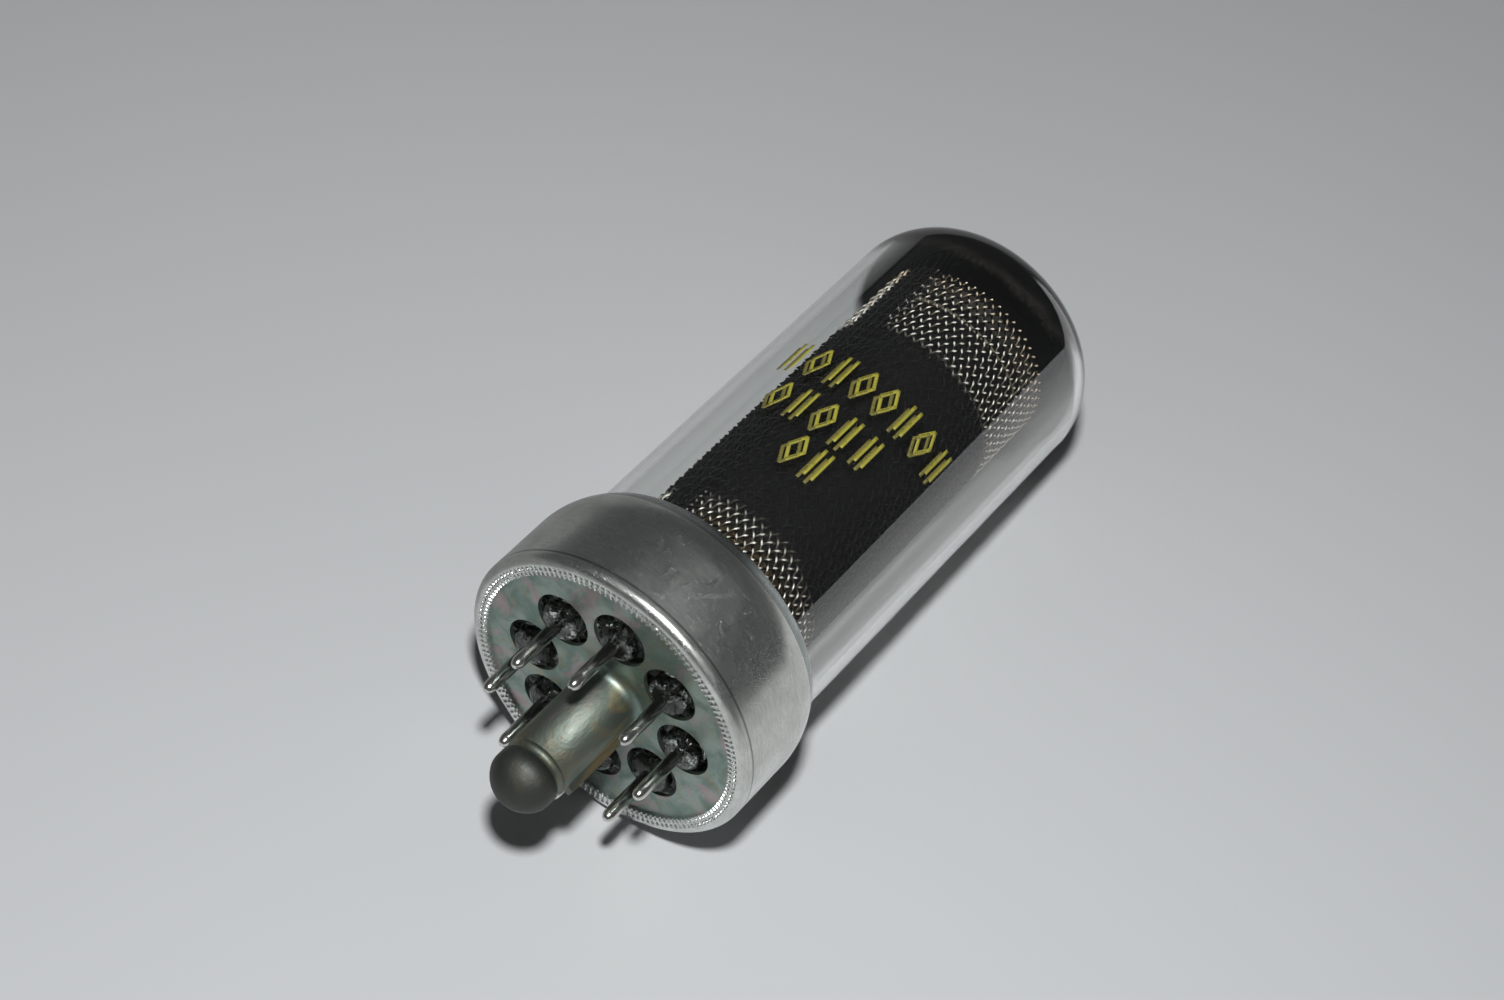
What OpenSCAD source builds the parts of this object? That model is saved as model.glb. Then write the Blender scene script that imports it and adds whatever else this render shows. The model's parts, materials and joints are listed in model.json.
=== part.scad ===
// Pentode tube with a metal base, a keyed lock spigot and a wire mesh screen.
// The tube is drawn upright, with its axis on Z, the face of its base plate at
// height 0 and its dome on top. It is then laid on its side, pins towards -X.

/* [Base ring] */
// Distance that the metal ring's side stands out from the glass
ring_step = 2.1; // [1.6:0.1:3]
// Wall of the ring
ring_wall = 0.45; // [0.3:0.05:0.6]
// Height of the ring's straight side above the plate's face
ring_side_h = 7.6; // [6:0.1:10]
// Radius of the shoulder that draws in to the glass
ring_shoulder_r = 7.8; // [6:0.1:9]
// Radius of the corner that rolls over the plate
ring_corner_r = 1.2; // [0.9:0.1:1.6]
// Width of the rolled lip, from the ring's side inwards
lip_w = 2.55; // [2.2:0.05:3]
// Number of teeth pressed into the lip
knurl_teeth = 150; // [90:10:180]
// Depth of the teeth
knurl_depth = 0.2; // [0.1:0.05:0.25]
// Width of the grooves between the teeth
knurl_gap = 0.26; // [0.16:0.02:0.32]

/* [Base plate] */
// Thickness of the plate and of the spigot's wall
plate_t = 0.45; // [0.3:0.05:0.6]
// Diameter of the clearance hole round each pin
pin_hole_d = 5.8; // [5:0.1:6.2]

/* [Lock spigot] */
// Outer diameter of the spigot
spigot_d = 6.66; // [6:0.1:7.2]
// Distance of the head's end from the plate's face
spigot_l = 15.2; // [13:0.1:18]
// Distance of the lock groove from the head's end
groove_inset = 4.2; // [3.7:0.1:5]
// Radius of the lock groove's section
groove_r = 0.5; // [0.3:0.05:0.6]
// Diameter of the spigot's head
head_d = 6.5; // [6:0.1:7]
// Length of the head's straight side
head_side = 1; // [0.5:0.1:1.3]
// Radius of the edge of the head
head_edge_r = 1.9; // [1.2:0.1:2.2]
// Radius of the bend at the spigot's root
root_r = 1; // [0.5:0.1:1.5]
// Width of the key
key_w = 1.1; // [0.8:0.1:1.5]
// Height of the key above the spigot
key_h = 0.6; // [0.4:0.1:1]
// Distance between the key's end and the lock groove
key_stop = 1.2; // [0.8:0.1:3]
// Turn of the key about the tube's axis, from straight up
key_turn = 110; // [90:1:130]

/* [Pins] */
// Diameter of the circle that the pins stand on
pin_circle_d = 17.45; // [17:0.05:18]
// Diameter of a pin
pin_d = 1.3; // [1:0.05:1.5]
// Diameter of a pin's shank, which is sealed in the glass
shank_d = 0.95; // [0.8:0.05:0.95]
// Height of the pins above the plate's face
pin_l = 7.2; // [6:0.1:8]
// Length of the pins inside the bulb
pin_stub = 1.2; // [0.8:0.1:1.6]

/* [Glass] */
// Outer diameter of the bulb
glass_d = 27.8; // [27:0.1:28.4]
// Wall of the bulb
glass_wall = 0.9; // [0.6:0.1:1.2]
// Height of the dome's top above the plate's face
dome_top = 66.4; // [65.8:0.1:70]
// Height of the dome
dome_h = 7.2; // [6.8:0.1:8]
// Radius of the dome's shoulder
dome_shoulder_r = 6.3; // [5:0.1:6.5]
// Thickness of the pressed glass base
button_t = 3.2; // [2.8:0.1:3.5]
// Height of the glass beads round the pins above the plate's face
bead_h = 1; // [0.6:0.1:1.4]
// Diameter of the glass beads
bead_d = 4.2; // [3.4:0.1:4.6]
// Diameter of the sealed exhaust tip
tip_d = 4.4; // [3.6:0.1:4.8]
// Height of the exhaust tip above the plate's face
tip_l = 6.5; // [4:0.1:8]

/* [Mesh screen] */
// Outer diameter of the mesh screen
mesh_d = 20; // [19.4:0.1:20.6]
// Thickness of the woven wire
mesh_t = 0.3; // [0.2:0.05:0.4]
// Height of the screen's lower edge above the plate's face
mesh_z0 = 10; // [9.4:0.1:10.6]
// Height of the screen's upper edge above the plate's face
mesh_z1 = 58.4; // [57.6:0.1:59]
// Openings in one row round the screen
mesh_cols = 10; // [8:1:10]
// Rows of openings along the screen
mesh_rows = 12; // [8:1:12]
// Width of the bars between the openings
mesh_bar = 0.95; // [0.7:0.05:1.2]
// Width of the raised wires on the bars
mesh_ridge = 0.35; // [0.25:0.05:0.5]
// Height of the plain band along each edge
mesh_band = 1.2; // [0.8:0.1:2]
// Angle that the sheet's ends overlap by
lap_angle = 36; // [15:1:60]
// Turn of the free edge about the tube's axis
lap_turn = -27; // [-60:1:0]

/* [Electrodes] */
// Height of the lower mica disc above the plate's face
mica_z0 = 19; // [18.6:0.1:20]
// Height of the upper mica disc above the plate's face
mica_z1 = 54; // [53:0.1:54.6]
// Thickness of the mica
mica_t = 0.3; // [0.2:0.05:0.4]
// Outer diameter of the cathode sleeve
cathode_d = 1.8; // [1.4:0.1:2]
// Diameter of the control grid
grid1_d = 4; // [3.8:0.1:4.4]
// Diameter of the screen grid
grid2_d = 6.8; // [6.4:0.1:7.2]
// Diameter of the suppressor grid
grid3_d = 9.8; // [9.4:0.1:10]
// Diameter of the grid rods
grid_rod_d = 0.8; // [0.6:0.05:0.9]
// Diameter of the grid wire
grid_wire_d = 0.2; // [0.16:0.02:0.24]
// Pitch of the control grid's turns
grid1_pitch = 1; // [0.8:0.1:2]
// Pitch of the screen grid's turns
grid2_pitch = 1.25; // [0.8:0.05:2.5]
// Pitch of the suppressor grid's turns
grid3_pitch = 2.5; // [1.5:0.1:4]
// Outer diameter of the anode
anode_d = 12.8; // [12:0.1:13.2]
// Wall of the anode
anode_t = 0.2; // [0.15:0.05:0.3]
// Distance of the support rods from the tube's axis
support_r = 7.6; // [7.4:0.1:8]
// Diameter of the support rods
support_d = 1; // [0.8:0.1:1.1]
// Diameter of the lead wires
lead_d = 0.7; // [0.5:0.05:0.8]
// Diameter of the heater wire
heater_d = 0.26; // [0.2:0.02:0.3]
// Distance between the heater's legs
heater_gap = 0.7; // [0.6:0.02:0.74]

/* [Getter] */
// Diameter of the getter ring
getter_d = 4.8; // [4:0.1:6]
// Thickness of the getter ring
getter_t = 0.7; // [0.5:0.1:0.8]
// Height of the getter ring above the plate's face
getter_z = 61; // [60:0.1:62]

/* [Hidden] */
$fn = 72;

// Clearances
seal_gap = 0.02;
glass_gap = 0.1;
sleeve_gap = 0.1;
rod_gap = 0.03;
weld_gap = 0.05;

// Overshoot of cuts
over = 1;

// Ring
glass_r = glass_d / 2;
ring_r = glass_r + ring_step;
lip_r = ring_r - lip_w;
lip_face = -ring_wall;
shoulder_cx = ring_r - ring_shoulder_r;
ring_end_r = glass_r + glass_gap + ring_wall;
shoulder_end = acos((ring_end_r - shoulder_cx) / ring_shoulder_r);

// Plate and spigot
plate_r = ring_r - ring_corner_r - weld_gap;
spigot_r = spigot_d / 2;
groove_z = spigot_l - groove_inset;
head_r = head_d / 2;
head_h = groove_inset - groove_r - head_side;
key_end = groove_z - key_stop;

// Glass
button_gap = 0.35;
button_z0 = plate_t + button_gap;
seal_z = button_z0 + button_t;
button_edge_r = 1.2;
inner_bead_h = 1.1;
inner_bead_d = 3.4;
bead_lip = 0.35;
dome_z = dome_top - dome_h;
tip_wall = 1;

// Pins
pin_r = pin_d / 2;
shank_r = shank_d / 2;
shank_foot = -bead_h - glass_gap;
pin_circle_r = pin_circle_d / 2;
pin_step = 45;
pin_top = seal_z + inner_bead_h + pin_stub;
taper_l = 1;
tip_flat_angle = 20;

// Mesh screen
mesh_r = mesh_d / 2;
mesh_in = mesh_r - mesh_t;
mesh_l = mesh_z1 - mesh_z0;

// Shields
shield_t = 0.25;
shield_flange = 2;
shield_r = mesh_in - sleeve_gap;
shield_inset = 1;
bottom_shield_z = mesh_z0 + shield_inset;
top_shield_z = mesh_z1 - shield_inset;
post_hole_gap = 0.4;

// Electrodes
rod_tail = 0.8;
electrode_margin = 1.5;
heater_top_inset = 1;
cathode_t = 0.15;
cathode_tail = 2.1;
bead_r = 0.35;
grid_rod_r = grid_rod_d / 2;
rod_turn = pin_angle(4);
anode_turn = pin_angle(2);
level_pitch = 0.8;
lowest_run = 1.5;
lowest_level = bottom_shield_z + shield_t + lowest_run;

// Lying on its side, the tube rests on the ring's shoulder and on the dome's shoulder.
rest_a = shoulder_cx - (glass_r - dome_shoulder_r);
rest_b = dome_z - ring_side_h;
rest_c = dome_shoulder_r - ring_shoulder_r;
lean = acos(rest_c / norm([rest_a, rest_b])) - atan2(rest_b, rest_a);
axis_h = ring_side_h * sin(lean) + shoulder_cx * cos(lean) + ring_shoulder_r;
head_crown_r = crown_radius(head_r, head_h, head_edge_r);
dome_crown_r = crown_radius(glass_r, dome_h, dome_shoulder_r);
reach_head = (spigot_l - head_crown_r) * cos(lean) + head_crown_r;
reach_dome = (dome_top - dome_crown_r) * cos(lean) + dome_crown_r;
axis_x = (reach_head - reach_dome) / 2;

// Radius of the crown that closes a dome of radius r and height h with shoulder radius s
function crown_radius(r, h, s) = (h * h + pow(r - s, 2) - s * s) / (2 * (h - s));

// Angle of pin n about the tube's axis
function pin_angle(n) = key_turn + (n - 0.5) * pin_step;

// Point at radius r and angle a
function polar(r, a) = [r * cos(a), r * sin(a)];

// Points of an arc round c with radius r, from angle a0 to a1 in n steps
function arc(c, r, a0, a1, n) = [for (i = [0:n]) c + polar(r, a0 + (a1 - a0) * i / n)];

// Outline of half a dome, from its foot at [r, z] to its top on the axis
function dome_points(r, z, h, s) =
    let (crown = crown_radius(r, h, s),
         cz = z + h - crown,
         split = atan2(z - cz, r - s))
    concat(arc([r - s, z], s, 0, split, 12),
           arc([0, cz], crown, split, 90, 8));

// Half diagonals of a lozenge, a across and b along, drawn in by half of width w
function inset(a, b, w) = [a - w / 2 * norm([a, b]) / b, b - w / 2 * norm([a, b]) / a];

module lay() {
    translate([axis_x, 0, axis_h]) rotate([0, lean, 0]) rotate([180, 0, 0]) rotate([0, 90, 0])
        children();
}

// Round wire from point p to point q
module wire(p, q, d) {
    v = q - p;
    translate(p) rotate([0, acos(v[2] / norm(v)), atan2(v[1], v[0])])
        cylinder(d = d, h = norm(v));
}

module around_pins() {
    for (n = [1:8]) rotate(pin_angle(n)) translate([pin_circle_r, 0, 0]) children();
}

// Ring: rolled lip, corner, straight side and drawn-in shoulder, one wall thick
module ring_profile() {
    wall_in = ring_wall;
    outer = concat(
        [[lip_r, lip_face]],
        arc([ring_r - ring_corner_r, lip_face + ring_corner_r], ring_corner_r, -90, 0, 8),
        arc([shoulder_cx, ring_side_h], ring_shoulder_r, 0, shoulder_end, 10));
    inner = concat(
        arc([shoulder_cx, ring_side_h], ring_shoulder_r - wall_in, shoulder_end, 0, 10),
        arc([ring_r - ring_corner_r, lip_face + ring_corner_r], ring_corner_r - wall_in, 0, -90, 8),
        [[lip_r, lip_face + wall_in]]);
    polygon(concat(outer, inner));
}

module base_ring() {
    color("silver") lay() difference() {
        rotate_extrude() ring_profile();
        for (i = [0:knurl_teeth - 1]) rotate(i * 360 / knurl_teeth)
            translate([lip_r - over, -knurl_gap / 2, lip_face - over])
                cube([ring_r - ring_corner_r - lip_r + over, knurl_gap, over + knurl_depth]);
    }
}

// Outline of the spigot, drawn in by t all round
module spigot_outline(t) {
    difference() {
        union() {
            translate([0, -groove_z]) square([spigot_r - t, groove_z + plate_t + over]);
            mirror([0, 1]) polygon(concat(
                [[0, groove_z]], [[head_r - t, groove_z]],
                dome_points(head_r - t, spigot_l - head_h, head_h - t, head_edge_r - t)));
        }
        translate([spigot_r, -groove_z]) circle(groove_r + t, $fn = 48);
    }
}

module plate_profile() {
    difference() {
        union() {
            square([plate_r, plate_t]);
            spigot_outline(0);
            difference() {
                translate([0, -root_r]) square([spigot_r + root_r, root_r]);
                translate([spigot_r + root_r, -root_r]) circle(root_r, $fn = 48);
            }
        }
        spigot_outline(plate_t);
        translate([-over, plate_t]) square([plate_r, 2 * over]);
    }
}

module base_plate() {
    color("darkseagreen") lay() difference() {
        union() {
            rotate_extrude() plate_profile();
            rotate(key_turn) translate([spigot_r - plate_t / 2, -key_w / 2, -key_end])
                cube([key_h + plate_t / 2, key_w, key_end]);
        }
        around_pins() translate([0, 0, -over]) cylinder(d = pin_hole_d, h = plate_t + 2 * over);
    }
}

// Bead that a pin stands in: radius r, height h, drawn up to the wire
module bead(r, h) {
    neck = pin_r + bead_lip;
    rotate_extrude() polygon(concat(
        [[0, 0], [r, 0]],
        arc([neck, 0] + [0, h - (r - neck)], r - neck, 0, 90, 8),
        [[0, h]]));
}

module glass_base() {
    color("darkslategray") lay() difference() {
        union() {
            translate([0, 0, button_z0]) rotate_extrude() polygon(concat(
                [[0, 0]],
                arc([glass_r - button_edge_r, button_edge_r], button_edge_r, -90, 0, 8),
                [[glass_r, button_t], [0, button_t]]));
            around_pins() translate([0, 0, button_z0 + weld_gap]) mirror([0, 0, 1])
                bead(bead_d / 2, bead_h + button_z0 + weld_gap);
            around_pins() translate([0, 0, seal_z - weld_gap])
                bead(inner_bead_d / 2, inner_bead_h + weld_gap);
            mirror([0, 0, 1]) rotate_extrude() polygon(concat(
                [[0, -button_z0 - over], [tip_d / 2, -button_z0 - over]],
                arc([0, tip_l - tip_d / 2], tip_d / 2, 0, 90, 10)));
        }
        translate([0, 0, -tip_l + tip_d / 2]) cylinder(d = tip_d - 2 * tip_wall, h = seal_z + tip_l);
        around_pins() translate([0, 0, -bead_h - over])
            cylinder(r = shank_r + seal_gap, h = pin_top + bead_h + over);
    }
}

module glass_bulb() {
    outer = dome_points(glass_r, dome_z, dome_h, dome_shoulder_r);
    inner = dome_points(glass_r - glass_wall, dome_z, dome_h - glass_wall,
                        dome_shoulder_r - glass_wall);
    color("lightcyan", 0.35) lay() rotate_extrude() difference() {
        polygon(concat([[0, seal_z], [glass_r, seal_z]], outer));
        polygon(concat([[0, seal_z - over], [glass_r - glass_wall, seal_z - over]], inner));
    }
}

// One opening of the screen: a lozenge cut from radius r outwards
module lozenge(r, half) {
    translate([r, 0, 0]) rotate([90, 0, 90]) linear_extrude(mesh_d)
        polygon([[half[0], 0], [0, half[1]], [-half[0], 0], [0, -half[1]]]);
}

// Lozenges in staggered rows, clear of the lap's edges
module lozenges(r, half, pitch) {
    for (j = [1:mesh_rows], i = [0:mesh_cols - 1])
        rotate(lap_turn + (i + (j % 2) / 2 + 1 / 4) * 360 / mesh_cols)
            translate([0, 0, mesh_z0 + mesh_band + pitch * j]) lozenge(r, half);
}

// The woven sheet is rolled into a tube with a lapped seam. Its wires cross on the slant:
// they stand as ridges between shallow pockets, and each pocket has an opening.
module screen_mesh() {
    half_a = PI * mesh_r / mesh_cols;
    half_b = (mesh_l - 2 * mesh_band) / (mesh_rows + 1);
    color("dimgray") lay() difference() {
        translate([0, 0, mesh_z0]) union() {
            rotate_extrude() translate([mesh_in, 0]) square([mesh_t, mesh_l]);
            rotate(lap_turn - lap_angle) rotate_extrude(angle = lap_angle)
                translate([mesh_r - mesh_t / 2, 0]) square([mesh_t * 3 / 2, mesh_l]);
        }
        difference() {
            lozenges(mesh_in - over, inset(half_a, half_b, mesh_ridge), half_b);
            cylinder(r = mesh_r - mesh_t / 3, h = mesh_z1 + over);
        }
        lozenges(mesh_in - over, inset(half_a, half_b, mesh_bar), half_b);
    }
}

// Flanged disc that closes an end of the screen
module shield_disc() {
    cylinder(r = shield_r, h = shield_t);
    difference() {
        cylinder(r = shield_r, h = shield_flange);
        translate([0, 0, shield_t / 2]) cylinder(r = shield_r - shield_t, h = shield_flange);
    }
}

module bottom_shield() {
    color("gainsboro") lay() difference() {
        translate([0, 0, bottom_shield_z]) shield_disc();
        for (n = [1:8]) if (n != 5)
            rotate(pin_angle(n)) translate([pin_circle_r, 0, bottom_shield_z - over])
                cylinder(d = lead_d + post_hole_gap, h = shield_flange + 2 * over);
    }
}

module top_shield() {
    color("gainsboro") lay() translate([0, 0, top_shield_z + shield_t]) mirror([0, 0, 1])
        shield_disc();
}

// Mica disc with a close hole for each electrode
module mica_disc(z) {
    color("khaki", 0.8) lay() difference() {
        translate([0, 0, z]) cylinder(r = shield_r, h = mica_t);
        translate([0, 0, z - over]) {
            h = mica_t + 2 * over;
            cylinder(d = cathode_d + 2 * rod_gap, h = h);
            for (side = [0, 180]) {
                for (d = [grid1_d, grid2_d, grid3_d]) rotate(rod_turn + side)
                    translate([d / 2, 0, 0]) cylinder(r = grid_rod_r + rod_gap, h = h);
                rotate(anode_turn + side) translate([support_r, 0, 0])
                    cylinder(d = support_d + 2 * rod_gap, h = h);
            }
        }
    }
}

module bottom_mica() {
    mica_disc(mica_z0);
}

module top_mica() {
    mica_disc(mica_z1);
}

// Level at which the lead of pin n runs in to its electrode
function lead_level(n) = lowest_level + level_pitch * lookup(n,
    [[1, 0], [2, 4.5], [3, 3.5], [4, 4.5], [5, 0], [6, 2.5], [7, 5.6], [8, 1.2]]);

// Lower end of a rod that the lead of pin n is welded to
function rod_foot(n) = lead_level(n) - rod_tail;

// Foot of a rod that carries no lead
rod_stop = mica_z0 - rod_tail;

// Centre of what the lead of pin n is welded to
function lead_target(n) =
    n == 1 ? polar(heater_gap / 2, key_turn + 90) :
    n == 8 ? polar(heater_gap / 2, key_turn - 90) :
    n == 2 ? polar(support_r, anode_turn) :
    n == 3 ? polar(grid2_d / 2, rod_turn) :
    n == 4 ? polar(grid3_d / 2, rod_turn) :
    n == 6 ? polar(grid1_d / 2, rod_turn) : [0, 0];

// Radius of what the lead of pin n is welded to
function lead_stop(n) =
    n == 1 || n == 8 ? heater_d / 2 :
    n == 2 ? support_d / 2 :
    n == 7 ? cathode_d / 2 : grid_rod_r;

// Grid: two rods and one turn of wire after another
module grid(d, pitch, foot) {
    z0 = mica_z0 + mica_t + electrode_margin;
    turns = floor((mica_z1 - electrode_margin - z0) / pitch);
    for (k = [0, 1]) rotate(rod_turn + 180 * k)
        translate([d / 2, 0, k == 0 ? foot : rod_stop])
            cylinder(r = grid_rod_r, h = mica_z1 + mica_t + rod_tail - (k == 0 ? foot : rod_stop));
    for (i = [0:turns]) translate([0, 0, z0 + i * pitch]) rotate_extrude()
        translate([d / 2, 0]) circle(d = grid_wire_d, $fn = 24);
}

module control_grid() {
    color("goldenrod") lay() grid(grid1_d, grid1_pitch, rod_foot(6));
}

module screen_grid() {
    color("darkgray") lay() grid(grid2_d, grid2_pitch, rod_foot(3));
}

module suppressor_grid() {
    color("gray") lay() grid(grid3_d, grid3_pitch, rod_foot(4));
}

// Anode: sheet tube with three stiffening beads and two seams that meet the support rods
module anode() {
    r = anode_d / 2;
    z0 = mica_z0 + mica_t + electrode_margin;
    h = mica_z1 - electrode_margin - z0;
    fin = support_r - support_d / 2 - rod_gap - r + anode_t;
    color("darkslategray") lay() translate([0, 0, z0]) {
        rotate_extrude() difference() {
            union() {
                translate([r - anode_t, 0]) square([anode_t, h]);
                for (i = [1:3]) translate([r - anode_t, h * i / 4]) circle(bead_r, $fn = 32);
            }
            translate([r - anode_t - over, 0]) square([over, h]);
        }
        for (side = [0, 180]) rotate(anode_turn + side)
            translate([r - anode_t, -anode_t, 0]) cube([fin, 2 * anode_t, h]);
    }
}

module support_rods() {
    color("silver") lay() for (k = [0, 1]) rotate(anode_turn + 180 * k)
        translate([support_r, 0, k == 0 ? rod_foot(2) : rod_stop])
            cylinder(d = support_d, h = top_shield_z - (k == 0 ? rod_foot(2) : rod_stop));
}

module cathode() {
    z0 = mica_z0 - cathode_tail;
    h = mica_z1 + mica_t + rod_tail - z0;
    color("white") lay() translate([0, 0, z0]) difference() {
        cylinder(d = cathode_d, h = h);
        translate([0, 0, -over]) cylinder(d = cathode_d - 2 * cathode_t, h = h + 2 * over);
    }
}

// Heater: one wire, up one side of the cathode's bore and down the other
module heater() {
    top = mica_z1 - heater_top_inset;
    color("ivory") lay() rotate(key_turn + 90) {
        for (n = [1, 8]) translate([(n == 1 ? 1 : -1) * heater_gap / 2, 0, rod_foot(n)])
            cylinder(d = heater_d, h = top - rod_foot(n));
        translate([0, 0, top]) rotate([90, 0, 0]) rotate_extrude(angle = 180)
            translate([heater_gap / 2, 0]) circle(d = heater_d, $fn = 24);
    }
}

module getter_ring() {
    color("dimgray") lay() translate([0, 0, getter_z]) rotate_extrude()
        translate([getter_d / 2, 0]) circle(d = getter_t, $fn = 32);
}

module getter_support() {
    z0 = top_shield_z + shield_t;
    color("silver") lay() for (side = [0, 180]) rotate(anode_turn + side)
        translate([getter_d / 2, 0, z0]) cylinder(d = lead_d, h = getter_z - getter_t / 2 - z0);
}

// Contact pin: rounded tip, contact length and the shank that the glass holds
module pin(n) {
    tip = [for (a = [tip_flat_angle:14:90])
        [pin_r * sin(a), -pin_l + taper_l * (1 - cos(a))]];
    color("lightgray") lay() rotate(pin_angle(n)) translate([pin_circle_r, 0, 0])
        rotate_extrude() polygon(concat(
            [[0, tip[0][1]]], tip,
            [[pin_r, shank_foot], [shank_r, shank_foot], [shank_r, pin_top], [0, pin_top]]));
}

// Lead of pin n: a post on the pin's inner end and a run to its electrode
module lead(n) {
    foot = concat(polar(pin_circle_r, pin_angle(n)), [pin_top]);
    knee = [foot[0], foot[1], lead_level(n)];
    target = concat(lead_target(n), [lead_level(n)]);
    way = target - knee;
    color("silver") lay() {
        if (n == 5) {
            wire(foot, [foot[0], foot[1], bottom_shield_z], lead_d);
        } else {
            wire(foot, knee, lead_d);
            translate(knee) sphere(d = lead_d);
            wire(knee, knee + way * (1 - (lead_stop(n) + weld_gap) / norm(way)), lead_d);
        }
    }
}

base_ring();
base_plate();
glass_base();
glass_bulb();
screen_mesh();
bottom_shield();
top_shield();
bottom_mica();
top_mica();
anode();
support_rods();
suppressor_grid();
screen_grid();
control_grid();
cathode();
heater();
getter_ring();
getter_support();
pin(1);  // pin_1
pin(2);  // pin_2
pin(3);  // pin_3
pin(4);  // pin_4
pin(5);  // pin_5
pin(6);  // pin_6
pin(7);  // pin_7
pin(8);  // pin_8
lead(1);  // lead_1
lead(2);  // lead_2
lead(3);  // lead_3
lead(4);  // lead_4
lead(5);  // lead_5
lead(6);  // lead_6
lead(7);  // lead_7
lead(8);  // lead_8
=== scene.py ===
import json
import math

import bmesh
import bpy
import numpy as np
from mathutils import Matrix


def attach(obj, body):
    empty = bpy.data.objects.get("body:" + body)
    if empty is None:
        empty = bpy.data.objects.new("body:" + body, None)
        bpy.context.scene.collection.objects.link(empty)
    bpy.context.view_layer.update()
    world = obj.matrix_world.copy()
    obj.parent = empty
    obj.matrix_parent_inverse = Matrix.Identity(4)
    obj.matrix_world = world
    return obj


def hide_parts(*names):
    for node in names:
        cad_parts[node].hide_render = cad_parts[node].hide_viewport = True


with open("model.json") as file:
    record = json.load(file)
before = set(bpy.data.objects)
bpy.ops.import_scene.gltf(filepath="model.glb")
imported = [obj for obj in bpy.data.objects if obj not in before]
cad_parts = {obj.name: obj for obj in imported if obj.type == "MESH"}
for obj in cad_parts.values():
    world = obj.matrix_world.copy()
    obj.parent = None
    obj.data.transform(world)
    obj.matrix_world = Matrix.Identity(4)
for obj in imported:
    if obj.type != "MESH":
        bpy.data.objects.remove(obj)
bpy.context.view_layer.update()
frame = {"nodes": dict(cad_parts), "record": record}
print("frame loaded")

# Everything below is drawn in the tube's own frame, in millimetres: z runs along the axis from
# the plate's face to the dome, x is up and y follows from them.
mm = 0.001
pinMount = next(m for m in frame["record"]["mounts"] if m["name"] == "pins")
pinMountHeight = 4.0  # how far the mount stands in front of the plate's face
axisZ = -np.array(pinMount["axis"]) / np.linalg.norm(pinMount["axis"])
axisY = np.array([0.0, -1.0, 0.0])
axisX = np.cross(axisY, axisZ)
plateFace = np.array(pinMount["pos_m"]) + pinMountHeight * mm * axisZ
turn = np.stack([axisX, axisY, axisZ])

tube = {
    "glassRadius": 13.9,
    "glassWall": 0.9,
    "glassFoot": 4.0,      # height where the bulb starts
    "domeTop": 66.4,
    "domeHeight": 7.2,
    "domeShoulder": 6.3,   # radius of the arc between the straight wall and the crown
    "ringRadius": 16.0,
    "ringWall": 0.45,
    "meshRadius": 10.0,    # to the screen's outer side
    "meshLow": 10.0,       # heights of its two ends
    "meshHigh": 58.4,
}


# From the tube's frame to the world: the rows of turn are the axes
def toWorld(points):
    return plateFace + (np.asarray(points, float).reshape(-1, 3) * mm) @ turn


# A point at radius r, angle a round the axis and height z
def onAxis(r, a, z):
    r, a, z = np.broadcast_arrays(r, a, z)
    return np.stack([r * np.cos(a), r * np.sin(a), z], -1)


def unit(vector):
    return vector / np.linalg.norm(vector, axis=-1, keepdims=True)


# Quads of a grid of rows and columns; a wrapped side joins its last line to its first
def gridQuads(rows, cols, wrapRows=False, wrapCols=False):
    r = np.arange(rows if wrapRows else rows - 1)[:, None]
    c = np.arange(cols if wrapCols else cols - 1)[None, :]
    nextR, nextC = (r + 1) % rows, (c + 1) % cols
    return np.stack(
        [r * cols + c, r * cols + nextC, nextR * cols + nextC, nextR * cols + c], -1
    ).reshape(-1, 4)


# Makes an object of a mesh, a light or a camera
def addObject(name, data):
    item = bpy.data.objects.new(name, data)
    bpy.context.scene.collection.objects.link(item)
    return item


# Merges points closer together than a distance in metres
def mergePoints(mesh, distance):
    work = bmesh.new()
    work.from_mesh(mesh)
    bmesh.ops.remove_doubles(work, verts=work.verts, dist=distance)
    work.to_mesh(mesh)
    work.free()


# Shades all faces smooth, but for edges sharper than an angle in degrees
def shadeSmooth(mesh, sharp=None):
    mesh.polygons.foreach_set("use_smooth", np.ones(len(mesh.polygons), bool))
    if sharp is not None:
        mesh.set_sharp_from_angle(angle=math.radians(sharp))


# Puts points and quads into a mesh; shapes with poles have them merged to one point
def makePiece(name, points, quads, material, slot=None, replaced=(), poles=False, sharp=None):
    mesh = bpy.data.meshes.new(name)
    world = toWorld(points)
    mesh.vertices.add(len(world))
    mesh.vertices.foreach_set("co", world.ravel())
    mesh.loops.add(quads.size)
    mesh.loops.foreach_set("vertex_index", quads.ravel().astype(np.int32))
    mesh.polygons.add(len(quads))
    mesh.polygons.foreach_set("loop_start", np.arange(0, quads.size, 4, dtype=np.int32))
    mesh.update(calc_edges=True)
    if poles:
        mergePoints(mesh, 1e-7)
    shadeSmooth(mesh, sharp)
    mesh.materials.append(material)
    piece = addObject(name, mesh)
    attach(piece, "root")
    if replaced:
        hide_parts(*replaced)


# A profile of (radius, height) points turned round the axis; a closed profile ends where it began
def revolve(name, profile, steps, material, closed=False, **facts):
    a = np.linspace(0, 2 * np.pi, steps, endpoint=False)
    points = onAxis(profile[:, :1], a[None, :], profile[:, 1:])
    quads = gridQuads(len(profile), steps, wrapRows=closed, wrapCols=True)
    makePiece(name, points, quads, material, **facts)


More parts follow.
